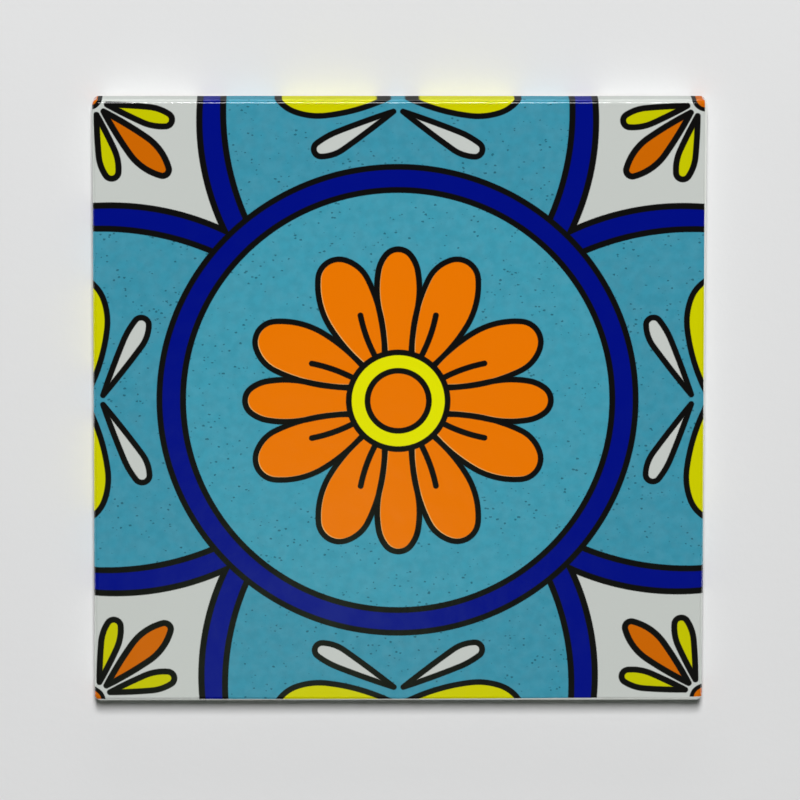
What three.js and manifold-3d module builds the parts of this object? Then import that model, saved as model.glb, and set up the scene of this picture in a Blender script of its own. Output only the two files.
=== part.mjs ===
// A square glazed wall tile, dry-pressed and fired as one piece.
// It lies face up: +Z is the glazed face, +Y is the top of the pattern, and the origin is the
// middle of the square that the tile lies on. Lengths are in millimetres.
import * as THREE from "three";
import { mergeVertices } from "three/addons/utils/BufferGeometryUtils.js";
import Module from "manifold-3d";

// Overall size
const side = 150; // edge to edge, both ways
const thickness = 7; // from the crown of the back ribs to the glazed face

// Rim, as it is seen in a section across one edge
const cushionWidth = 0.8; // how far in from the edge the face starts to curve down
const cushionDrop = 0.6; // how far the curve falls before it meets the upright wall
const footChamfer = 0.5; // small slope where the wall meets the back
const cornerRadius = 1.5; // rounding of the four corners, seen from above

// Key on the back: a grid of shallow square pockets between ribs, which the adhesive grips
const pocketDepth = 0.7;
const pocketsPerSide = 10;
const ribWidth = 2.6;
const borderLand = 5.2; // plain rim of the back, from the wall to the first pocket
const pocketCornerRadius = 1.2;
const roundestPocket = 0.45; // the most that the corner radius may be of a pocket's side

// Fineness of the rounded shapes: an extruded arc gets twice this many flats
const cushionSteps = 5;
const cornerSteps = 4;
const pocketCornerSteps = 1;

// How far a cutting shape runs past what it cuts
const overrun = 1;

// Colour of the ground glaze, and how dull it is
const glazeRed = 0.28;
const glazeGreen = 0.58;
const glazeBlue = 0.67;
const glazeRoughness = 0.12;

const halfSide = side / 2;

const wasm = await Module();
wasm.setup();

// A closed three.js geometry as a solid that can be cut and joined.
function solidFrom(geometry) {
  const bare = geometry.index ? geometry.toNonIndexed() : geometry.clone();
  bare.deleteAttribute("normal");
  bare.deleteAttribute("uv");
  const merged = mergeVertices(bare);
  return new wasm.Manifold(
    new wasm.Mesh({
      numProp: 3,
      vertProperties: merged.attributes.position.array,
      triVerts: new Uint32Array(merged.index.array),
    }),
  );
}

// A solid as a three.js geometry again, with flat faces.
function geometryFrom(solid) {
  const { vertProperties, triVerts } = solid.getMesh();
  const geometry = new THREE.BufferGeometry()
    .setAttribute("position", new THREE.BufferAttribute(vertProperties, 3))
    .setIndex(new THREE.BufferAttribute(triVerts, 1))
    .toNonIndexed();
  geometry.computeVertexNormals();
  return geometry;
}

// A square outline with rounded corners, centred on the origin.
function roundedSquare(width, radius) {
  const half = width / 2;
  const inner = half - radius;
  const outline = new THREE.Shape();
  outline.moveTo(half, -inner);
  outline.absarc(inner, inner, radius, 0, Math.PI / 2);
  outline.absarc(-inner, inner, radius, Math.PI / 2, Math.PI);
  outline.absarc(-inner, -inner, radius, Math.PI, 1.5 * Math.PI);
  outline.absarc(inner, -inner, radius, 1.5 * Math.PI, 2 * Math.PI);
  return outline;
}

// The section across the tile: across is x, height is y. A chamfered foot, an upright wall
// and a quarter of an ellipse that turns into the flat face.
function crossSection() {
  const faceEdge = halfSide - cushionWidth;
  const wallTop = thickness - cushionDrop;
  const section = new THREE.Shape();
  section.moveTo(-halfSide + footChamfer, 0);
  section.lineTo(halfSide - footChamfer, 0);
  section.lineTo(halfSide, footChamfer);
  section.lineTo(halfSide, wallTop);
  section.absellipse(faceEdge, wallTop, cushionWidth, cushionDrop, 0, Math.PI / 2);
  section.absellipse(-faceEdge, wallTop, cushionWidth, cushionDrop, Math.PI / 2, Math.PI);
  section.lineTo(-halfSide, footChamfer);
  return section;
}

// The section drawn out into a bar that is longer than the tile and lies along Y.
function bar() {
  const length = side + 2 * overrun;
  return new THREE.ExtrudeGeometry(crossSection(), {
    depth: length,
    bevelEnabled: false,
    curveSegments: cushionSteps,
  })
    .translate(0, 0, -length / 2)
    .rotateX(Math.PI / 2);
}

// The pressed blank: two bars crossed, so that the rims meet in mitres at the corners, and
// trimmed to the rounded outline.
function blank() {
  const outline = new THREE.ExtrudeGeometry(roundedSquare(side, cornerRadius), {
    depth: thickness + 2 * overrun,
    bevelEnabled: false,
    curveSegments: cornerSteps,
  }).translate(0, 0, -overrun);
  const lengthwise = solidFrom(bar());
  const crosswise = solidFrom(bar().rotateZ(Math.PI / 2));
  return lengthwise.intersect(crosswise).intersect(solidFrom(outline));
}

// The grid of pockets in the back, as the solid that is cut away.
function keyPockets() {
  const keySide = side - 2 * borderLand;
  const pocketSide = (keySide - (pocketsPerSide - 1) * ribWidth) / pocketsPerSide;
  const pitch = pocketSide + ribWidth;
  const firstCentre = -(keySide - pocketSide) / 2;
  const radius = Math.min(pocketCornerRadius, roundestPocket * pocketSide);
  const pocket = new THREE.ExtrudeGeometry(roundedSquare(pocketSide, radius), {
    depth: pocketDepth + overrun,
    bevelEnabled: false,
    curveSegments: pocketCornerSteps,
  }).translate(0, 0, -overrun);
  const pockets = [];
  for (let column = 0; column < pocketsPerSide; column += 1) {
    for (let row = 0; row < pocketsPerSide; row += 1) {
      const x = firstCentre + column * pitch;
      const y = firstCentre + row * pitch;
      pockets.push(solidFrom(pocket.clone().translate(x, y, 0)));
    }
  }
  return wasm.Manifold.union(pockets);
}

const turquoiseGlaze = new THREE.MeshStandardMaterial({
  color: new THREE.Color().setRGB(glazeRed, glazeGreen, glazeBlue, THREE.SRGBColorSpace),
  roughness: glazeRoughness,
  metalness: 0,
});

const tile = new THREE.Mesh(geometryFrom(blank().subtract(keyPockets())), turquoiseGlaze);
tile.name = "tile";

const part = new THREE.Group();
part.name = "glazed_wall_tile";
part.add(tile);

export default part;
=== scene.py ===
"""Looks of a square glazed wall tile with a printed daisy, laid face up on a pale floor.

The tile is one fired piece. It is shown as two skins that fit each other: the pressed body
with its keyed back, and the printed glaze that covers the face, the rim and most of the wall.
Sizes are in millimetres until a mesh is written, and then in metres.
"""

import logging
import math
from dataclasses import dataclass, field
from enum import Enum

import bmesh
import bpy
import numpy as np
from mathutils import Matrix, Vector


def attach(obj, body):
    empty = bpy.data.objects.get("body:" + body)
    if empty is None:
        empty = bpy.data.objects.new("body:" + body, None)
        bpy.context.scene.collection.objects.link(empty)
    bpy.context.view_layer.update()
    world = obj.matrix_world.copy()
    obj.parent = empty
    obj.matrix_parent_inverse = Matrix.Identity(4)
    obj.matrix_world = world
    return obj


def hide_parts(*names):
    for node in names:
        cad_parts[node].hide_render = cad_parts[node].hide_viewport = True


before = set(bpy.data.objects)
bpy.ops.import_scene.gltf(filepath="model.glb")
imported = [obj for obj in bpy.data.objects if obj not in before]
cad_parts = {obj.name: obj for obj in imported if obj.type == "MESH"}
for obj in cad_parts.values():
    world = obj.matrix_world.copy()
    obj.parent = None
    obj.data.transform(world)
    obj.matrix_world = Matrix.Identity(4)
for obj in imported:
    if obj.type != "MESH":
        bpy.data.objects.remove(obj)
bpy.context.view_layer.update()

MM = 0.001
HALF_SIDE = 75.0
THICKNESS = 7.0
CORNER_MIDDLE = 73.5
BODY = "root"
NODE = "tile"
CHART = "OFBake"
CHART_MARGIN = 0.005

log = logging.getLogger("tile")

Pair = tuple[float, float]
Screen = tuple[int, int, int]
Light = tuple[float, float, float, float]
Tree = bpy.types.NodeTree
Socket = bpy.types.NodeSocket


def unit(degrees: float) -> np.ndarray:
    """The unit vector at an angle from the first axis."""
    return np.array([math.cos(math.radians(degrees)), math.sin(math.radians(degrees))])


def linear(colour: Screen) -> Light:
    """A screen colour of 0 to 255 as light: the screen's gamma curve undone.

    Args:
        colour: red, green and blue as a screen shows them.

    Returns:
        Red, green, blue and full opacity, from 0 to 1.
    """
    share = np.array(colour) / 255
    light = np.where(share <= 0.04045, share / 12.92, ((share + 0.055) / 1.055) ** 2.4)
    return (*light.tolist(), 1.0)


class Ink(Enum):
    """The printed colours, as they look on screen under the studio's light."""

    LINE = (15, 14, 14)
    TURQUOISE = (64, 155, 178)
    SIDE_TURQUOISE = (60, 147, 171)
    BLUE = (2, 14, 129)
    WHITE = (197, 201, 197)
    BARE = (220, 223, 218)
    PETAL = (235, 119, 1)
    HEART_YELLOW = (226, 227, 2)
    LEAF_YELLOW = (204, 203, 1)
    DROP_ORANGE = (203, 102, 3)
    DROP_YELLOW = (197, 196, 2)
    HAIR = (249, 192, 118)

    @property
    def light(self) -> Light:
        """The colour as a shader takes it."""
        return linear(self.value)


@dataclass(frozen=True)
class Number:
    """A number with a value at every point of a surface, made by a shader's nodes.

    The usual signs of arithmetic work on it. Each adds one Math node.
    """

    tree: Tree
    socket: Socket

    def math(self, operation: str, *others: "Number | float", clamp: bool = False) -> "Number":
        """Joins this number and others by one Math node.

        Args:
            operation: the node's name for what it does.
            others: the node's other inputs, in order.
            clamp: whether the result is kept from 0 to 1.

        Returns:
            The node's result.
        """
        node = self.tree.nodes.new("ShaderNodeMath")
        node.operation, node.use_clamp = operation, clamp
        for entry, value in zip(node.inputs, (self, *others)):
            plug(self.tree, entry, value)
        return Number(self.tree, node.outputs[0])

    def __add__(self, other: "Number | float") -> "Number":
        """The sum."""
        return self.math("ADD", other)

    def __sub__(self, other: "Number | float") -> "Number":
        """The difference."""
        return self.math("SUBTRACT", other)

    def __mul__(self, other: "Number | float") -> "Number":
        """The product."""
        return self.math("MULTIPLY", other)

    def __abs__(self) -> "Number":
        """The number without its sign."""
        return self.math("ABSOLUTE")

    def least(self, other: "Number | float") -> "Number":
        """The lesser of this number and another."""
        return self.math("MINIMUM", other)

    def most(self, other: "Number | float") -> "Number":
        """The greater of this number and another."""
        return self.math("MAXIMUM", other)

    def inside(self, softness: float) -> "Number":
        """A share that falls from 1 to 0 as this number rises through 0, as softly as given."""
        return self.math("MULTIPLY_ADD", -1 / softness, 0.5, clamp=True)

    def choose(self, where_one: "Number", where_zero: "Number") -> "Number":
        """One of two numbers, picked at each point by this one, which is 1 or 0 there.

        Args:
            where_one: the result where this number is 1.
            where_zero: the result where it is 0.

        Returns:
            The picked number.
        """
        node = self.tree.nodes.new("ShaderNodeMix")
        for entry, value in ((0, self), (2, where_zero), (3, where_one)):
            plug(self.tree, node.inputs[entry], value)
        return Number(self.tree, node.outputs[0])

    def ramp(self, low: float, high: float, to_low: float, to_high: float) -> "Number":
        """This number carried from one range to another, with smooth ends.

        Args:
            low: the value that becomes to_low.
            high: the value that becomes to_high.
            to_low: the result at low and below.
            to_high: the result at high and above.

        Returns:
            The number in its new range.
        """
        node = self.tree.nodes.new("ShaderNodeMapRange")
        node.interpolation_type = "SMOOTHSTEP"
        for entry, value in zip(node.inputs, (self, low, high, to_low, to_high)):
            plug(self.tree, entry, value)
        return Number(self.tree, node.outputs[0])


@dataclass(frozen=True)
class Place:
    """A point of the pattern's plane at every point of a surface, made by a shader's nodes."""

    tree: Tree
    socket: Socket

    def vector(self, operation: str, other: Pair, output: str) -> Number:
        """Joins this place and a fixed point or direction by one Vector Math node.

        Args:
            operation: the node's name for what it does.
            other: the fixed point or direction.
            output: which of the node's results is wanted.

        Returns:
            The result as a number.
        """
        node = self.tree.nodes.new("ShaderNodeVectorMath")
        node.operation = operation
        self.tree.links.new(self.socket, node.inputs[0])
        node.inputs[1].default_value = (float(other[0]), float(other[1]), 0.0)
        return Number(self.tree, node.outputs[output])

    def distance(self, point: Pair) -> Number:
        """How far the place is from a fixed point."""
        return self.vector("DISTANCE", point, "Value")

    def along(self, direction: Pair) -> Number:
        """How far the place lies in a fixed direction."""
        return self.vector("DOT_PRODUCT", direction, "Value")


def plug(tree: Tree, entry: Socket, value: "Number | float") -> None:
    """Gives a node's entry a worked-out number or a fixed value.

    Args:
        tree: the tree that the entry is in.
        entry: the entry.
        value: what it gets.
    """
    if isinstance(value, Number):
        tree.links.new(value.socket, entry)
    else:
        entry.default_value = value


def joined(first: Number, second: Number) -> Place:
    """Two numbers as a place of the pattern's plane."""
    node = first.tree.nodes.new("ShaderNodeCombineXYZ")
    plug(first.tree, node.inputs[0], first)
    plug(first.tree, node.inputs[1], second)
    return Place(first.tree, node.outputs[0])


@dataclass(frozen=True)
class Arc:
    """One arc of a petal's flank.

    Attributes:
        normal: which way, in degrees, the outline faces where the arc begins.
        radius: the arc's radius, below zero where the flank is hollow.
    """

    normal: float
    radius: float


@dataclass(frozen=True)
class Bend:
    """An arc of a flank as a circle, with the point and the normal where the outline joins it."""

    centre: np.ndarray
    radius: float
    joint: np.ndarray
    normal: np.ndarray


@dataclass(frozen=True)
class Petal:
    """A drop of ink with a round head, whose flanks run back to a root.

    Each flank is a chain of arcs that pass smoothly into each other, the first of them
    touching the head. A petal with one flank is its own mirror image across the first axis.

    Attributes:
        root: where the petal starts. For a pointed petal, about where its flanks cross.
        head, head_radius: the circle of the round head, to the middle of the black line.
        line: half the width of the black line.
        left, right: the arcs of each flank, from the head to the root, as seen from the root.
        pointed: whether the petal ends in a tip that shows.
    """

    root: Pair
    head: Pair
    head_radius: float
    line: float
    left: tuple[Arc, ...] = ()
    right: tuple[Arc, ...] = ()
    pointed: bool = False

    def bends(self, arcs: tuple[Arc, ...]) -> list[Bend]:
        """The circles that a flank follows, each touching the last at their joint.

        Args:
            arcs: the flank's arcs.

        Returns:
            The circles, the head's first.
        """
        found = [Bend(np.array(self.head), self.head_radius, np.array(self.head), np.zeros(2))]
        for arc in arcs:
            normal = unit(arc.normal)
            joint = found[-1].centre + found[-1].radius * normal
            found.append(Bend(joint - arc.radius * normal, arc.radius, joint, normal))
        return found

    def tip(self) -> np.ndarray:
        """Where the last circles of the two flanks cross.

        Returns:
            The crossing nearest to the root.
        """
        last = [self.bends(arcs)[-1] for arcs in (self.left, self.right) if arcs]
        one, other = last[0].centre, last[-1].centre
        if len(last) == 1:
            other = one * np.array([1.0, -1.0])
        apart = np.hypot(*(other - one))
        way = (other - one) / apart
        ahead = (last[0].radius**2 - last[-1].radius**2 + apart**2) / (2 * apart)
        aside = math.sqrt(last[0].radius**2 - ahead**2) * np.array([-way[1], way[0]])
        crossings = (one + ahead * way + aside, one + ahead * way - aside)
        return min(crossings, key=lambda spot: np.hypot(*(spot - np.array(self.root))))

    def flank(self, place: Place, arcs: tuple[Arc, ...], side: int) -> Number:
        """How far a place is outside one side of the drop, less than zero inside.

        It is the distance from the head's circle and, past each joint, from the next circle.

        Args:
            place: the place.
            arcs: the side's arcs, from the head to the root.
            side: 1 for the left side and -1 for the right.

        Returns:
            The distance.
        """
        head, *others = self.bends(arcs)
        edge = place.distance(head.centre) - head.radius
        for bend in others:
            towards_root = side * np.array([-bend.normal[1], bend.normal[0]])
            past = place.along(towards_root).math("GREATER_THAN", float(bend.joint @ towards_root))
            sign = math.copysign(1.0, bend.radius)
            own = place.distance(bend.centre).math("MULTIPLY_ADD", sign, -bend.radius)
            edge = past.choose(own, edge)
        return edge

    def distance(self, place: Place) -> Number:
        """How far a place is outside the drop's middle line, less than zero inside.

        Args:
            place: the place.

        Returns:
            The distance, from the flank that is on the place's own side of the drop.
        """
        if not self.right:
            return self.flank(place, self.left, 1)
        if not self.left:
            return self.flank(place, self.right, -1)
        root = self.tip() if self.pointed else np.array(self.root)
        axis = np.array(self.head) - root
        leftwards = np.array([-axis[1], axis[0]])
        on_left = place.along(leftwards).math("GREATER_THAN", float(leftwards @ root))
        return on_left.choose(self.flank(place, self.left, 1), self.flank(place, self.right, -1))

    def edges(self, place: Place) -> tuple[Number, Number]:
        """How far a place is outside the drop, and how far it is outside its black line.

        A pointed petal is cut off square at its tip, and its line ends there in a half round.

        Args:
            place: the place.

        Returns:
            The two distances, each less than zero inside.
        """
        edge = self.distance(place)
        line = abs(edge) - self.line
        if not self.pointed:
            return edge, line
        tip = self.tip()
        backwards = (tip - np.array(self.head)) / np.hypot(*(tip - np.array(self.head)))
        behind = place.along(backwards) - float(tip @ backwards)
        return edge.most(behind), line.most(behind).least(place.distance(tip) - self.line)


@dataclass(frozen=True)
class Band:
    """A black line round a circle.

    Attributes:
        centre: the middle of the circle.
        radius: the radius of the line's own middle.
        line: half the line's width.
    """

    centre: Pair
    radius: float
    line: float

    def distance(self, place: Place) -> Number:
        """How far a place is outside the line's middle, less than zero inside the circle."""
        return place.distance(self.centre) - self.radius


@dataclass(frozen=True)
class Vein:
    """A short curved line with a round end, drawn in each broad petal."""

    centre: Pair = (28.49, -27.79)
    radius: float = 37.73
    end: float = 101.31
    line: float = 0.73

    def distance(self, place: Place) -> Number:
        """How far a place is outside the line: the arc short of its end, or the round end.

        Args:
            place: the place.

        Returns:
            The distance, less than zero in the line.
        """
        outwards = unit(self.end)
        cap = np.array(self.centre) + self.radius * outwards
        onwards = np.array([outwards[1], -outwards[0]])
        arc = abs(place.distance(self.centre) - self.radius) - self.line
        beyond = place.along(onwards) - float(cap @ onwards)
        return arc.most(beyond).least(place.distance(cap) - self.line)


@dataclass(frozen=True)
class DaisyPattern:
    """The whole print, drawn once for an eighth of the tile and repeated by folding.

    The plane is folded so that the first coordinate is the larger of the two distances from
    the middle lines and the second is the smaller. All places are in millimetres of the print.
    The corner drop alone is drawn as seen along and across the diagonal.

    Attributes:
        softness: how wide the edge of each ink is.
        half: how far the print reaches from its middle lines.
        daisy_squeeze: the share by which the daisy is narrower and taller than it is drawn.
        plate_shift: how far the orange plate lies off the black one.
        plate_inset: how far the orange plate stops short of the middle of the black line.
        heart, collar: the radii of the orange heart and its yellow collar.
        heart_line, collar_line: the radii at which the black lines round them end.
    """

    softness: float = 0.2
    half: float = 74.55
    daisy_squeeze: float = 0.005
    plate_shift: Pair = (0.20, 0.15)
    plate_inset: float = 0.62
    heart: float = 6.75
    heart_line: float = 8.18
    collar: float = 11.30
    collar_line: float = 12.73
    inner_ring: Band = Band((0.0, 0.0), 52.18, 0.74)
    outer_ring: Band = Band((0.0, 0.0), 57.88, 0.73)
    outer_side: Band = Band((68.91, -15.07), 63.09, 0.78)
    inner_side: Band = Band((71.25, -24.13), 66.42, 0.76)
    corner_disc: Band = Band((74.87, 74.87), 3.05, 0.52)
    narrow_petal: Petal = Petal(
        root=(0.0, 0.0),
        head=(33.46, 0.0),
        head_radius=3.90,
        line=0.74,
        left=(Arc(52.07, 8.84), Arc(80.15, 25.22), Arc(102.83, -54.9)),
    )
    broad_petal: Petal = Petal(
        root=(0.0, 0.0),
        head=(29.73, 14.39),
        head_radius=5.15,
        line=0.71,
        left=(Arc(85.58, 19.79), Arc(121.24, 40.18)),
        right=(Arc(-16.81, 8.99), Arc(-63.73, 39.55)),
    )
    vein: Vein = Vein()
    white_drop: Petal = Petal(
        root=(71.49, 1.17),
        head=(62.19, 18.61),
        head_radius=1.82,
        line=0.73,
        left=(Arc(182.05, 9.66), Arc(215.90, 256.0)),
        right=(Arc(37.73, 21.33), Arc(22.02, 222.0)),
        pointed=True,
    )
    side_leaf: Petal = Petal(
        root=(76.0, 0.0),
        head=(79.59, 21.99),
        head_radius=8.79,
        line=0.72,
        left=(Arc(160.00, 16.32), Arc(186.71, 47.6)),
    )
    corner_leaf: Petal = Petal(
        root=(72.76, 70.24),
        head=(69.22, 56.28),
        head_radius=1.67,
        line=0.76,
        left=(Arc(-33.11, 10.50), Arc(-5.10, 119.0)),
        right=(Arc(184.22, 11.77), Arc(155.70, 116.0)),
        pointed=True,
    )
    corner_drop: Petal = Petal(
        root=(100.51, 0.0),
        head=(80.52, 0.0),
        head_radius=1.535,
        line=0.78,
        right=(Arc(119.90, 13.39), Arc(79.91, 90.9)),
        pointed=True,
    )

    def folded(self, x: Number, y: Number) -> Place:
        """The print's coordinates as a place in the eighth that is drawn."""
        across, up = abs(x), abs(y)
        return joined(across.most(up), across.least(up))

    def from_diagonal(self, place: Place) -> Place:
        """A folded place as seen along and across the diagonal."""
        slant = math.sqrt(0.5)
        return joined(place.along((slant, slant)), place.along((slant, -slant)))

    def painted(self, x: Number, y: Number, wear: "Wear") -> "Coat":
        """Lays the ground colours, the filled shapes and the black lines over each other.

        The daisy's orange plate lies a little off the black one. So it is printed a little
        small, and it leaves a hair of pale ground along the lower left of each petal's line.

        Args:
            x: the print's first coordinate.
            y: the print's second coordinate.
            wear: what firing leaves in the turquoise.

        Returns:
            The finished colour.
        """
        slip_x, slip_y = self.plate_shift
        narrow, tall = x * (1 + self.daisy_squeeze), y * (1 - self.daisy_squeeze)
        place, daisy = self.folded(x, y), self.folded(narrow, tall)
        plate = self.folded(narrow - slip_x, tall - slip_y)
        reach = place.distance((0.0, 0.0))

        outer_side = self.outer_side.distance(place)
        inner_side = self.inner_side.distance(place)
        outer_ring = reach - self.outer_ring.radius
        inner_ring = reach - self.inner_ring.radius
        colour = Coat(x.tree, Ink.WHITE.light, self.softness)
        colour.lay(Ink.BLUE, outer_side)
        colour.lay(Ink.SIDE_TURQUOISE, inner_side)
        wear.mark(colour, inner_side)
        colour.lay(Ink.BLUE, outer_ring)
        colour.lay(Ink.TURQUOISE, inner_ring)
        wear.mark(colour, inner_ring)

        lines = abs(outer_side) - self.outer_side.line
        lines = lines.least(abs(inner_side) - self.inner_side.line)
        lines = lines.most(outer_ring * -1.0)
        lines = lines.least(abs(outer_ring) - self.outer_ring.line)
        lines = lines.least(abs(inner_ring) - self.inner_ring.line)

        for petal, ink, where, printed in (
            (self.side_leaf, Ink.LEAF_YELLOW, place, None),
            (self.white_drop, Ink.WHITE, place, None),
            (self.corner_leaf, Ink.DROP_YELLOW, place, None),
            (self.corner_drop, Ink.DROP_ORANGE, self.from_diagonal(place), None),
            (self.narrow_petal, Ink.PETAL, daisy, plate),
            (self.broad_petal, Ink.PETAL, daisy, plate),
        ):
            edge, line = petal.edges(where)
            if printed:
                colour.lay(Ink.HAIR, edge)
                edge = petal.edges(printed)[0] + self.plate_inset
            colour.lay(ink, edge)
            lines = lines.least(line)
        lines = lines.least(self.vein.distance(daisy))
        colour.lay(Ink.LINE, lines)

        corner = self.corner_disc.distance(place)
        colour.lay(Ink.LINE, corner - self.corner_disc.line)
        colour.lay(Ink.DROP_ORANGE, corner + self.corner_disc.line)
        for ink, radius in (
            (Ink.LINE, self.collar_line),
            (Ink.HEART_YELLOW, self.collar),
            (Ink.LINE, self.heart_line),
            (Ink.PETAL, self.heart),
        ):
            colour.lay(ink, reach - radius)
        colour.lay(Ink.BARE, place.along((-1.0, 0.0)) + self.half)
        return colour


class Coat:
    """A colour that is built up by laying one ink over another."""

    def __init__(self, tree: Tree, ground: Light, softness: float = 0.0) -> None:
        """Starts with a ground colour.

        Args:
            tree: the tree that gets the nodes.
            ground: the colour under all the others.
            softness: how wide the edge of each ink is, in millimetres.
        """
        self.tree, self.softness = tree, softness
        node = tree.nodes.new("ShaderNodeRGB")
        node.outputs[0].default_value = ground
        self.socket = node.outputs[0]

    def lay(self, ink: Ink, edge: Number) -> None:
        """Covers the colour with an ink wherever the distance outside its edge is below zero."""
        self.blend(ink.light, edge.inside(self.softness))

    def blend(self, light: Light, share: Number) -> None:
        """Covers a share of the colour with another colour."""
        self.mix("MIX", light, share)

    def shade(self, left: float, share: Number) -> None:
        """Darkens the colour, where the share is 1 to this part of its light."""
        self.mix("MULTIPLY", (left, left, left, 1.0), share)

    def mix(self, way: str, light: Light, share: Number) -> None:
        """Joins another colour to the colour by one Mix node.

        Args:
            way: the node's name for how the two are joined.
            light: the other colour.
            share: how much of the joined colour shows.
        """
        node = self.tree.nodes.new("ShaderNodeMix")
        node.data_type, node.blend_type = "RGBA", way
        plug(self.tree, node.inputs[0], share)
        self.tree.links.new(self.socket, node.inputs[6])
        node.inputs[7].default_value = light
        self.socket = node.outputs[2]


@dataclass(frozen=True)
class Wear:
    """What firing leaves in a colour, each as a share from 0 to 1 over the surface.

    Attributes:
        clouds: faint darker clouds.
        specks: fine dark specks.
        veil: where the ink is thin, so that the pale ground shows through a little.
        cloud_light, speck_light: how much light is left in a cloud and in a speck.
        veil_share: how much of the ground shows where the veil is full.
    """

    clouds: Number
    specks: Number
    veil: Number
    cloud_light: float = 0.91
    speck_light: float = 0.50
    veil_share: float = 0.028

    def mark(self, colour: Coat, edge: Number) -> None:
        """Marks the colour inside an outline.

        Args:
            colour: the colour, which is changed.
            edge: the distance outside the outline.
        """
        area = edge.inside(colour.softness)
        colour.blend(Ink.WHITE.light, area * self.veil * self.veil_share)
        colour.shade(self.cloud_light, area * self.clouds)
        colour.shade(self.speck_light, area * self.specks)


@dataclass(frozen=True)
class Surface:
    """A material in the making: its tree, its shader and the place on it in millimetres."""

    tree: Tree
    shader: bpy.types.Node
    place: Socket

    def noise(self, size: float, detail: float) -> Number:
        """Soft random variation in space.

        Args:
            size: how far apart its bumps are, in millimetres.
            detail: how many finer layers it has.

        Returns:
            A number from 0 to 1, about a half on average.
        """
        node = self.tree.nodes.new("ShaderNodeTexNoise")
        self.tree.links.new(self.place, node.inputs["Vector"])
        node.inputs["Scale"].default_value = 1 / size
        node.inputs["Detail"].default_value = detail
        return Number(self.tree, node.outputs[0])

    def give(self, colour: Coat, roughness: Number) -> None:
        """Gives the shader its colour and its roughness."""
        self.tree.links.new(colour.socket, self.shader.inputs["Base Color"])
        plug(self.tree, self.shader.inputs["Roughness"], roughness)


@dataclass(frozen=True)
class Finish:
    """What a surface is made of, under the material's name."""

    name: str

    def dress(self, surface: Surface) -> Number:
        """Sets the colour and the gloss, which each kind of finish does in its own way.

        Args:
            surface: the surface.

        Returns:
            The height of the surface's fine relief, in millimetres.
        """
        raise NotImplementedError

    def material(self) -> bpy.types.Material:
        """Makes the material, with the fine relief as bumps.

        Returns:
            The material, which reads the object's own coordinates.
        """
        material = bpy.data.materials.new(self.name)
        material.use_nodes = True
        tree = material.node_tree
        shader = tree.nodes["Principled BSDF"]
        own = tree.nodes.new("ShaderNodeTexCoord")
        scaled = tree.nodes.new("ShaderNodeMapping")
        scaled.inputs["Scale"].default_value = (1 / MM,) * 3
        tree.links.new(own.outputs["Object"], scaled.inputs["Vector"])
        bump = tree.nodes.new("ShaderNodeBump")
        bump.inputs["Distance"].default_value = MM
        relief = self.dress(Surface(tree, shader, scaled.outputs["Vector"]))
        plug(tree, bump.inputs["Height"], relief)
        tree.links.new(bump.outputs[0], shader.inputs["Normal"])
        return material


@dataclass(frozen=True)
class Laying:
    """How one coordinate of the print follows from a place on the tile.

    A transfer never lies quite true. Besides its size, turn and shift it is bowed a little,
    by amounts that grow with the square of the way from the middle.

    Attributes:
        along_x, along_y: millimetres of print for each millimetre of tile to the right and up.
        shift: the print's coordinate at the tile's middle.
        bow_x, bow_y: how far it is off at the left and right, and at the top and bottom edges.
        twist: how far it is off at the corners, with its sign changing from one to the next.
    """

    along_x: float
    along_y: float
    shift: float
    bow_x: float
    twist: float
    bow_y: float
    half: float = HALF_SIDE

    def of(self, x: Number, y: Number) -> Number:
        """The print's coordinate at a place of the tile.

        Args:
            x: the place's first coordinate in millimetres.
            y: the place's second coordinate in millimetres.

        Returns:
            The sum of the terms that are named above.
        """
        area = self.half * self.half
        flat = x * self.along_x + y * self.along_y + self.shift
        bowed = flat + x * x * (self.bow_x / area) + x * y * (self.twist / area)
        return bowed + y * y * (self.bow_y / area)


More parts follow.
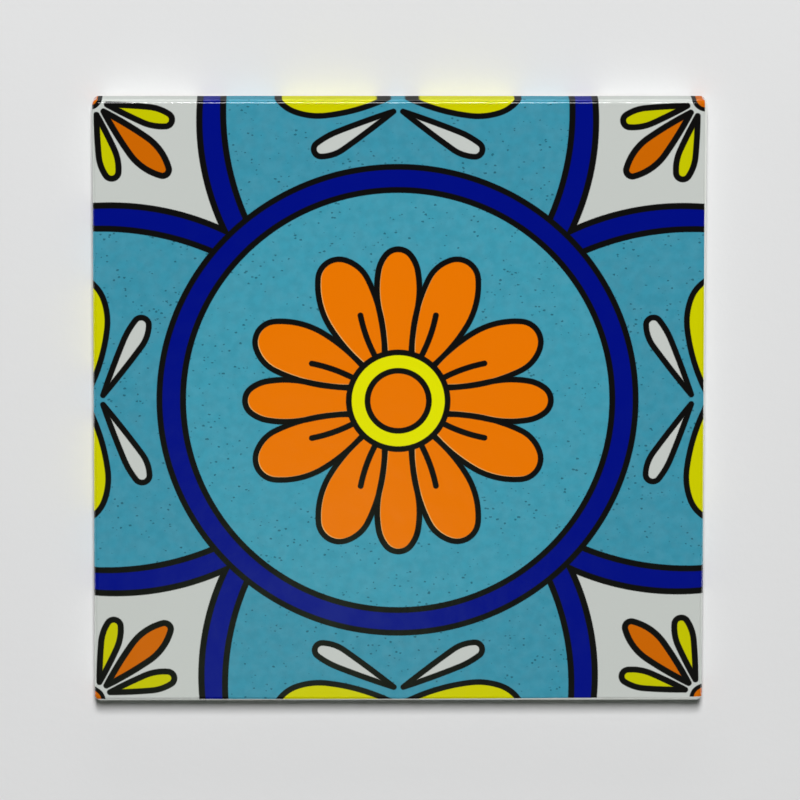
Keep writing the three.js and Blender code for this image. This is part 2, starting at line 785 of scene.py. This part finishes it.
@dataclass(frozen=True)
class PrintedGlaze(Finish):
    """Clear gloss glaze over the printed pattern, with specks and a faint waviness.

    A size is how far apart the bumps of a soft noise are, and a height is how high they
    stand, in millimetres. A pair named between has the two values, a noise's or a distance
    from the middle lines, at which something is absent and full. The peel is fine dimples,
    and the grit lies on the rim. The wall is dull, because its glaze is thin. The specks are
    squeezed by their shape, turned by radians, made ragged, and larger where they crowd.
    """

    name: str = "printed_glaze"
    pattern: DaisyPattern = DaisyPattern()
    print_x: Laying = Laying(0.9904, 0.0030, 0.228, 0.239, 0.165, -0.044)
    print_y: Laying = Laying(-0.0008, 0.9952, -0.333, -0.316, 0.209, 0.095)
    roughness: float = 0.07
    roughness_spread: float = 0.3
    wall_roughness: float = 0.9
    wall_between: Pair = (74.88, 74.98)
    wave_size: float = 7.0
    wave_height: float = 0.016
    peel_size: float = 1.1
    peel_height: float = 0.0022
    grit_size: float = 0.3
    grit_height: float = 0.014
    grit_between: Pair = (73.9, 74.4)
    speck_size: float = 1.4
    speck_shape: tuple[float, float, float] = (0.78, 1.12, 1.0)
    speck_turn: float = 0.35
    speck_reach: Pair = (0.23, 0.36)
    speck_fade: Pair = (-0.07, 0.03)
    rag_size: float = 0.35
    rag: float = 0.28
    crowd_size: float = 9.0
    crowd_between: Pair = (0.36, 0.64)
    cloud_size: float = 2.2
    cloud_between: Pair = (0.30, 0.72)
    veil_size: float = 3.1
    veil_between: Pair = (0.32, 0.70)

    def dress(self, surface: Surface) -> Number:
        """Sets the print as the colour, and the gloss.

        Args:
            surface: the surface.

        Returns:
            The height of the waves, the dimples and the grit.
        """
        parts = surface.tree.nodes.new("ShaderNodeSeparateXYZ")
        surface.tree.links.new(surface.place, parts.inputs[0])
        x, y = (Number(surface.tree, parts.outputs[entry]) for entry in (0, 1))
        edge = abs(x).most(abs(y))
        wear = self.wear(surface)
        colour = self.pattern.painted(self.print_x.of(x, y), self.print_y.of(x, y), wear)
        least, most = (self.roughness * (1 + sign * self.roughness_spread) for sign in (-1, 1))
        gloss = surface.noise(self.wave_size, 2.0).ramp(0.3, 0.7, least, most)
        surface.give(colour, gloss + edge.ramp(*self.wall_between, 0.0, self.wall_roughness))

        wave = surface.noise(self.wave_size, 1.0) * self.wave_height
        peel = surface.noise(self.peel_size, 1.0) * self.peel_height
        rim = edge.ramp(*self.grit_between, 0.0, self.grit_height)
        return wave + peel + surface.noise(self.grit_size, 1.0) * rim

    def wear(self, surface: Surface) -> Wear:
        """Works out where firing leaves faint clouds, fine specks and thin ink.

        A speck is where the nearest of some scattered points is close by.

        Args:
            surface: the surface.

        Returns:
            All three.
        """
        tree = surface.tree
        longer = tree.nodes.new("ShaderNodeMapping")
        longer.inputs["Scale"].default_value = self.speck_shape
        longer.inputs["Rotation"].default_value = (0.0, 0.0, self.speck_turn)
        tree.links.new(surface.place, longer.inputs["Vector"])
        scatter = tree.nodes.new("ShaderNodeTexVoronoi")
        tree.links.new(longer.outputs["Vector"], scatter.inputs["Vector"])
        scatter.inputs["Scale"].default_value = 1 / self.speck_size
        ragged = surface.noise(self.rag_size, 1.0) * self.rag
        near = Number(tree, scatter.outputs["Distance"]) + ragged
        crowd = surface.noise(self.crowd_size, 2.0)
        reach = crowd.ramp(*self.crowd_between, *self.speck_reach)
        return Wear(
            clouds=surface.noise(self.cloud_size, 3.0).ramp(*self.cloud_between, 0.0, 1.0),
            specks=(near - reach).ramp(*self.speck_fade, 1.0, 0.0),
            veil=surface.noise(self.veil_size, 3.0).ramp(*self.veil_between, 0.0, 1.0),
        )


@dataclass(frozen=True)
class Biscuit(Finish):
    """Bare fired clay: pale and dull, with darker clouds and grains that stand up a little."""

    name: str = "biscuit"
    pale: Screen = (222, 211, 193)
    dark: Screen = (196, 181, 158)
    cloud_size: float = 18.0
    cloud_share: float = 0.6
    grain_size: float = 0.5
    grain_share: float = 0.4
    grain_height: float = 0.06
    dullness: Pair = (0.78, 0.92)

    def dress(self, surface: Surface) -> Number:
        """Sets the clouded, grainy colour and the dullness.

        Args:
            surface: the surface.

        Returns:
            The height of the grains.
        """
        cloud = surface.noise(self.cloud_size, 3.0).ramp(0.3, 0.7, 0.0, self.cloud_share)
        grain = surface.noise(self.grain_size, 2.0)
        clay = Coat(surface.tree, linear(self.pale))
        clay.blend(linear(self.dark), cloud + grain.ramp(0.45, 0.75, 0.0, self.grain_share))
        surface.give(clay, grain.ramp(0.3, 0.7, *self.dullness))
        return grain * self.grain_height


@dataclass(frozen=True)
class PaleFloor(Finish):
    """Plain matt paint, with faint waves of the given size and height in millimetres."""

    name: str = "pale_floor"
    colour: Screen = (221, 221, 222)
    roughness: float = 0.9
    wave_size: float = 2.5
    wave_height: float = 0.05

    def dress(self, surface: Surface) -> Number:
        """Sets the one colour and dullness of the paint.

        Args:
            surface: the surface.

        Returns:
            The height of the waves.
        """
        surface.shader.inputs["Base Color"].default_value = linear(self.colour)
        surface.shader.inputs["Roughness"].default_value = self.roughness
        return surface.noise(self.wave_size, 3.0) * self.wave_height


@dataclass
class Sheet:
    """A grid of points, and where each lies on the piece's flat chart.

    Attributes:
        points: rows by columns by 3, in millimetres.
        chart: rows by columns by 2, as a share of the chart.
    """

    points: np.ndarray
    chart: np.ndarray


def placed(name: str, data: bpy.types.ID) -> bpy.types.Object:
    """A new object of the scene, at the origin, for a mesh, a lamp or a lens."""
    thing = bpy.data.objects.new(name, data)
    bpy.context.scene.collection.objects.link(thing)
    return thing


def piece_from(name: str, sheets: list[Sheet], crease: float) -> bpy.types.Object:
    """Sews sheets into one mesh, by merging the points that lie on each other.

    Args:
        name: the piece's name.
        sheets: the sheets, with their rows and columns in the order that faces them outwards.
        crease: the angle, in degrees, above which an edge stays sharp.

    Returns:
        The piece.
    """
    points, faces, corners = [], [], []
    first = 0
    for sheet in sheets:
        rows, columns = sheet.points.shape[:2]
        number = first + np.arange(rows * columns).reshape(rows, columns)
        cell = np.stack([number[:-1, :-1], number[:-1, 1:], number[1:, 1:], number[1:, :-1]], -1)
        faces.append(cell.reshape(-1, 4))
        points.append(sheet.points.reshape(-1, 3))
        corners.append(sheet.chart.reshape(-1, 2))
        first += rows * columns
    mesh = bpy.data.meshes.new(name)
    quads = np.concatenate(faces)
    mesh.from_pydata((np.concatenate(points) * MM).tolist(), [], quads.tolist())
    chart = mesh.uv_layers.new(name=CHART)
    laid = np.concatenate(corners)[quads.ravel()]
    chart.uv.foreach_set("vector", laid.astype(np.float32).ravel())
    shape = bmesh.new()
    shape.from_mesh(mesh)
    bmesh.ops.remove_doubles(shape, verts=shape.verts, dist=1e-7)
    shape.to_mesh(mesh)
    shape.free()
    mesh.shade_smooth()
    mesh.set_sharp_from_angle(angle=math.radians(crease))
    mesh.validate()
    return placed(name, mesh)


@dataclass(frozen=True)
class Outline:
    """The tile's square outline seen from above, and the rings that lie inside or outside it.

    All rings share the middles of their corner arcs, so that a ring further out has rounder
    corners. A ring smaller than those middles is a plain square, drawn to scale. The
    stations are where the points of a straight side lie along it.
    """

    stations: tuple[float, ...]
    corner_middle: float = CORNER_MIDDLE
    corner_steps: int = 8

    def ring(self, half: np.ndarray) -> np.ndarray:
        """Points round the outline, anticlockwise, for rings of given sizes.

        The corner arc's radius is half the ring's width less the distance of its middle.

        Args:
            half: half the width of each ring.

        Returns:
            Rings by points by 2. The last point repeats the first.
        """
        half = np.asarray(half, float)[:, None]
        along = np.array(self.stations)
        turn = np.linspace(0, math.pi / 2, self.corner_steps + 1)[1:-1]
        fit = np.minimum(half / self.corner_middle, 1.0)
        radius = np.maximum(half - self.corner_middle, 0.0)
        side = np.stack(np.broadcast_arrays(half, along * fit), -1)
        middle = self.corner_middle * fit
        arc = np.stack([middle + radius * np.cos(turn), middle + radius * np.sin(turn)], -1)
        quarter = np.concatenate([side, arc], 1)
        quarters = []
        for _ in range(4):
            quarters.append(quarter)
            quarter = np.stack([-quarter[..., 1], quarter[..., 0]], -1)
        round_all = np.concatenate(quarters, 1)
        return np.concatenate([round_all, round_all[:, :1]], 1)


def carried(
    outline: Outline,
    half: np.ndarray,
    height: np.ndarray,
    laid: np.ndarray,
    fit: float,
    middle: Pair,
) -> Sheet:
    """A profile carried round the outline.

    Args:
        outline: the outline.
        half: for each row of the profile, half the width of its ring.
        height: the height of each row, or of each row and column.
        laid: for each row, half the width of its ring on the flat chart, in millimetres.
        fit: the chart's width per millimetre.
        middle: where the rings' middle is on the chart.

    Returns:
        The sheet, with one row for each ring.
    """
    flat = outline.ring(half)
    points = np.empty((*flat.shape[:2], 3))
    points[..., :2] = flat
    points[..., 2] = height if np.ndim(height) == 2 else np.asarray(height)[:, None]
    return Sheet(points, outline.ring(laid) * fit + np.array(middle))


def lengths(half: np.ndarray, height: np.ndarray) -> np.ndarray:
    """The distance along a profile from its first row to each row."""
    step = np.hypot(np.diff(half), np.diff(height))
    return np.concatenate([[0.0], np.cumsum(step)])


@dataclass
class GlazeCoat:
    """The printed glaze: a flat face, a rounded rim, and a wall that ends in a wavy lip.

    The face has a ring of points at half the width named, and two at the insets from the
    rim. Each of the lip's waves has how often it comes round the tile, its share and its
    start.
    """

    half: float = HALF_SIDE
    thickness: float = THICKNESS
    face_ring: float = 30.0
    face_insets: Pair = (4.0, 0.3)
    cushion_width: float = 0.8
    cushion_drop: float = 0.6
    cushion_power: float = 1.18
    lip_height: float = 0.45
    lip_width: float = 0.2
    lip_wave: float = 0.07
    lip_waves: tuple[tuple[int, float, float], ...] = (
        (7, 1.0, 0.4),
        (13, 0.7, 2.1),
        (29, 0.6, 4.0),
        (61, 0.35, 0.0),
    )
    rim_steps: int = 14
    wall_steps: int = 7
    curl_steps: int = 5
    side_steps: int = 72
    chart_fit: float = 0.988
    crease: float = 50.0
    finish: PrintedGlaze = field(default_factory=PrintedGlaze)

    def profile(self) -> tuple[np.ndarray, np.ndarray, np.ndarray]:
        """The glaze's section from the middle of the face to its lower lip.

        The rim is a quarter of an ellipse flattened towards a bevel: across the rim and down
        it, the shares of the way raised to the cushion power add up to one. The lip is a
        quarter of a circle that turns in under the glaze's edge and ends inside the body.

        Returns:
            Half width and height of each row, and how much of the lip's wave it takes.
        """
        turn = np.linspace(0, math.pi / 2, self.rim_steps + 1)
        inner = self.half - self.cushion_width
        rim_half = inner + self.cushion_width * np.sin(turn) ** (2 / self.cushion_power)
        fall = 1 - np.maximum(np.cos(turn), 0) ** (2 / self.cushion_power)
        rim_height = self.thickness - self.cushion_drop * fall
        wall_top, wall_foot = self.thickness - self.cushion_drop, self.lip_height + self.lip_width
        wall_half = np.full(self.wall_steps, self.half)
        wall_height = np.linspace(wall_top, wall_foot, self.wall_steps + 1)[1:]
        curl = np.linspace(0, math.pi / 2, self.curl_steps + 1)[1:]
        lip_half = self.half - self.lip_width * (1 - np.cos(curl))
        lip_height = wall_foot - self.lip_width * np.sin(curl)
        face_half = [0.0, self.face_ring, *(inner - inset for inset in self.face_insets)]
        face_height = [self.thickness] * len(face_half)
        half = np.concatenate([face_half, rim_half, wall_half, lip_half])
        height = np.concatenate([face_height, rim_height, wall_height, lip_height])
        takes = np.clip((wall_top - height) / (wall_top - wall_foot), 0, 1) ** 2
        return half, height, takes

    def wave(self, columns: int) -> np.ndarray:
        """How far the lip rises and falls round the tile: the sum of waves of unlike length.

        Args:
            columns: how many points there are round the tile.

        Returns:
            The rise at each point, in millimetres.
        """
        way = np.linspace(0, 2 * math.pi, columns)
        waves = (share * np.sin(times * way + start) for times, share, start in self.lip_waves)
        return self.lip_wave * sum(waves)

    def build(self) -> bpy.types.Object:
        """Makes the glaze and dresses it.

        Returns:
            The piece.
        """
        half, height, takes = self.profile()
        stations = np.linspace(-CORNER_MIDDLE, CORNER_MIDDLE, self.side_steps + 1)
        outline = Outline(tuple(stations.tolist()))
        columns = outline.ring(half[:1]).shape[1]
        heights = height[:, None] + takes[:, None] * self.wave(columns)
        laid = lengths(half, height)
        fit = self.chart_fit / (2 * laid[-1])
        sheet = carried(outline, half, heights, laid, fit, (0.5, 0.5))
        return dressed(piece_from("printed_glaze", [sheet], self.crease), self.finish)


@dataclass
class PressedBody:
    """The clay under the glaze: a bare wall, a chamfered foot and a back with a grid of pockets.

    The border land is measured from the tile's own edge. The draft is the width of a pocket's
    sloping side. Two grid lines of the back have names of their own: that amid a pocket's
    corner and that inside the back's edge. The two shares are of the flat chart.
    """

    half: float = 74.85
    top: float = 6.85
    cushion_width: float = 1.0
    cushion_drop: float = 0.8
    foot_chamfer: float = 0.5
    pocket_depth: float = 0.7
    pockets_per_side: int = 10
    rib_width: float = 2.6
    border_land: float = 5.2
    pocket_corner: float = 1.2
    draft: float = 0.3
    corner_line: float = 0.7
    edge_line: float = 1.0
    rim_steps: int = 6
    back_share: float = 0.74
    top_share: float = 0.24
    crease: float = 35.0
    finish: Biscuit = field(default_factory=Biscuit)

    @property
    def back_half(self) -> float:
        """Half the width of the flat back."""
        return self.half - self.foot_chamfer

    @property
    def pocket_side(self) -> float:
        """The width of one pocket."""
        key = 2 * (HALF_SIDE - self.border_land)
        return (key - (self.pockets_per_side - 1) * self.rib_width) / self.pockets_per_side

    def pocket_middles(self) -> np.ndarray:
        """Where the middles of a row of pockets are."""
        pitch = self.pocket_side + self.rib_width
        return (np.arange(self.pockets_per_side) - (self.pockets_per_side - 1) / 2) * pitch

    def lines(self) -> np.ndarray:
        """The grid lines of the back: a few across each rounded edge of each pocket.

        Returns:
            The lines' places, from one edge of the back to the other.
        """
        half = self.pocket_side / 2
        inset = np.array([0.0, self.draft / 2, self.draft, self.corner_line, self.pocket_corner])
        one = np.concatenate([-half + inset, (half - inset)[::-1]])
        crossing = (self.pocket_middles()[:, None] + one).ravel()
        last = np.array([self.back_half - self.edge_line, self.back_half])
        return np.concatenate([-last[::-1], crossing, last])

    def depth(self, x: np.ndarray, y: np.ndarray) -> np.ndarray:
        """How deep the back is pressed in: a smooth step inside each pocket's rounded edge.

        Args:
            x: the points' first coordinate.
            y: the points' second coordinate.

        Returns:
            The depth in millimetres.
        """
        middles = self.pocket_middles()
        near = [np.abs(along[..., None] - middles).min(-1) for along in (x, y)]
        straight = self.pocket_side / 2 - self.pocket_corner
        past = [np.maximum(distance - straight, 0.0) for distance in near]
        edge = np.hypot(*past) - self.pocket_corner
        share = np.clip(-edge / self.draft, 0, 1)
        return self.pocket_depth * share * share * (3 - 2 * share)

    def build(self) -> bpy.types.Object:
        """Makes the body and dresses it.

        Returns:
            The piece.
        """
        lines = self.lines()
        stations = np.clip(lines, -CORNER_MIDDLE, CORNER_MIDDLE)
        outline = Outline(tuple(stations.tolist()))
        turn = np.linspace(0, math.pi / 2, self.rim_steps + 1)
        rim_half = self.half - self.cushion_width * (1 - np.cos(turn))
        rim_height = self.top - self.cushion_drop + self.cushion_drop * np.sin(turn)
        half = np.concatenate([[self.back_half, self.half], rim_half])
        height = np.concatenate([[0.0, self.foot_chamfer], rim_height])
        laid = self.back_half + lengths(half, height)
        fit = self.back_share / (2 * laid[-1])
        middle = (0.5 * self.back_share + CHART_MARGIN,) * 2
        wall = carried(outline, half[::-1], height[::-1], laid[::-1], fit, middle)

        across, along = np.meshgrid(lines, lines)
        spots = np.stack([along, across, self.depth(along, across)], -1)
        back = Sheet(spots, spots[..., :2] * fit + np.array(middle))

        rings = np.array([0.0, half[-1]])
        small = self.top_share / (2 * half[-1])
        corner = (1 - 0.5 * self.top_share - CHART_MARGIN,) * 2
        top = carried(outline, rings, np.full(2, self.top), rings, small, corner)
        return dressed(piece_from("pressed_body", [wall, back, top], self.crease), self.finish)


def dressed(piece: bpy.types.Object, finish: Finish) -> bpy.types.Object:
    """Gives a piece its finish and ties it to the model.

    Args:
        piece: the piece.
        finish: what it is made of.

    Returns:
        The same piece.
    """
    piece.data.materials.append(finish.material())
    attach(piece, BODY)
    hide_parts(NODE)
    return piece


@dataclass(frozen=True)
class Softbox:
    """A flat oblong light that faces the tile. What isn't given is as for the low strips.

    It leans from straight above towards its bearing, which is counted from the tile's right.
    Angles are in degrees, lengths in metres and the power is in watts.
    """

    name: str
    bearing: float
    power: float
    lean: float = 84.0
    distance: float = 2.4
    width: float = 1.6
    depth: float = 0.3

    def build(self) -> None:
        """Makes the light."""
        lamp = bpy.data.lights.new(self.name, "AREA")
        lamp.shape = "RECTANGLE"
        lamp.size, lamp.size_y, lamp.energy = self.width, self.depth, self.power
        light = placed(self.name, lamp)
        flat = unit(self.bearing) * math.sin(math.radians(self.lean))
        towards = Vector((*flat, math.cos(math.radians(self.lean))))
        light.location = towards * self.distance
        light.rotation_mode = "QUATERNION"
        light.rotation_quaternion = (-towards).to_track_quat("-Z", "Y")


@dataclass(frozen=True)
class Camera:
    """A long lens far above the tile.

    It leans towards the tile's far edge, and by the yaw towards its right edge. Angles are in
    degrees and lengths in millimetres, but the clip, how near and far it sees, is in metres.
    """

    target: tuple[float, float, float] = (0.20, 0.54, 7.0)
    distance: float = 2000.0
    lean: float = 10.5
    yaw: float = -0.92
    roll: float = 0.14
    lens: float = 366.66
    sensor: float = 36.0
    clip: Pair = (0.1, 20.0)

    def build(self) -> None:
        """Makes the camera, with its upper side turned by the roll from the tile's +Y."""
        lean, yaw, roll = (math.radians(angle) for angle in (self.lean, self.yaw, self.roll))
        level = math.cos(lean)
        back = np.array([math.sin(yaw) * level, math.sin(lean), math.cos(yaw) * level])
        upright = np.array([0.0, 1.0, 0.0]) - back * back[1]
        upright /= np.linalg.norm(upright)
        rightwards = np.cross(upright, back)
        right = rightwards * math.cos(roll) + upright * math.sin(roll)
        up = upright * math.cos(roll) - rightwards * math.sin(roll)
        data = bpy.data.cameras.new("camera")
        data.lens, data.sensor_width = self.lens, self.sensor
        data.clip_start, data.clip_end = self.clip
        camera = placed("camera", data)
        spot = Vector((np.array(self.target) + back * self.distance) * MM)
        axes = Matrix(np.stack([right, up, back], 1).tolist())
        camera.matrix_world = Matrix.Translation(spot) @ axes.to_4x4()
        bpy.context.scene.camera = camera


@dataclass
class Studio:
    """A pale floor under soft lights, with bright surroundings low down and a dark ceiling.

    The surroundings are a sphere of radius one, and pass from the low light to the high
    light between two heights. The haze on it is a pale band that starts and ends in soft
    steps towards the viewer and fades to its tail on both sides. Its core is a bright spot.
    """

    floor_half: float = 6.0
    tint: Light = (0.72, 1.0, 0.62, 1.0)
    low_light: float = 0.07
    high_light: float = 0.01
    light_change: Pair = (0.15, 0.5)
    haze: float = 0.38
    haze_start: Pair = (0.165, 0.225)
    haze_end: Pair = (0.25, 0.40)
    haze_middle: float = 0.004
    haze_sides: Pair = (0.004, 0.034)
    haze_tail: float = 0.14
    core: Pair = (0.009, -0.204)
    core_radius: float = 0.018
    core_light: float = 0.28
    boxes: tuple[Softbox, ...] = (
        Softbox("key", 90.0, 83.8, lean=28.3, distance=2.8, width=0.5, depth=1.04),
        Softbox("far_strip", 90.0, 6.5, lean=75.0),
        Softbox("right_strip", 0.0, 5.5),
        Softbox("left_strip", 180.0, 5.0),
        Softbox("near_strip", 270.0, 4.0),
    )

    def build(self) -> None:
        """Makes the floor, the surroundings, the lights and the camera."""
        edge = self.floor_half
        corners = [(-edge, -edge, 0), (edge, -edge, 0), (edge, edge, 0), (-edge, edge, 0)]
        mesh = bpy.data.meshes.new("floor")
        mesh.from_pydata(corners, [], [(0, 1, 2, 3)])
        mesh.materials.append(PaleFloor().material())
        floor = placed("floor", mesh)
        self.surroundings()
        for box in self.boxes:
            box.build()
        Camera().build()
        view = bpy.context.scene.view_settings
        view.view_transform, view.look = "Standard", "None"
        log.info("studio: %d lights", len(self.boxes))

    def surroundings(self) -> None:
        """Light from all round. The glaze mirrors the band as a haze over its lower half."""
        world = bpy.data.worlds.new("surroundings")
        world.use_nodes = True
        tree = world.node_tree
        way = tree.nodes.new("ShaderNodeTexCoord")
        parts = tree.nodes.new("ShaderNodeSeparateXYZ")
        tree.links.new(way.outputs["Generated"], parts.inputs[0])
        aside, away, upwards = (Number(tree, output) for output in parts.outputs)
        near = away * -1.0
        band = near.ramp(*self.haze_start, 0.0, self.haze) * near.ramp(*self.haze_end, 1.0, 0.0)
        off_middle = abs(aside - self.haze_middle)
        band = band * off_middle.ramp(*self.haze_sides, 1.0, self.haze_tail)
        off_core = joined(aside, away).distance(self.core)
        spot = off_core.ramp(0.0, self.core_radius, self.core_light, 0.0)
        sky = upwards.ramp(*self.light_change, self.low_light, self.high_light)
        plug(tree, tree.nodes["Background"].inputs["Strength"], sky + band + spot)
        tree.nodes["Background"].inputs["Color"].default_value = self.tint
        bpy.context.scene.world = world


def main() -> None:
    """Builds the tile and the studio."""
    logging.basicConfig(level=logging.INFO, format="%(name)s: %(message)s")
    for part in (PressedBody(), GlazeCoat()):
        piece = part.build()
        log.info("%s: %d faces", piece.name, len(piece.data.polygons))
    Studio().build()


if __name__ == "__main__":
    main()
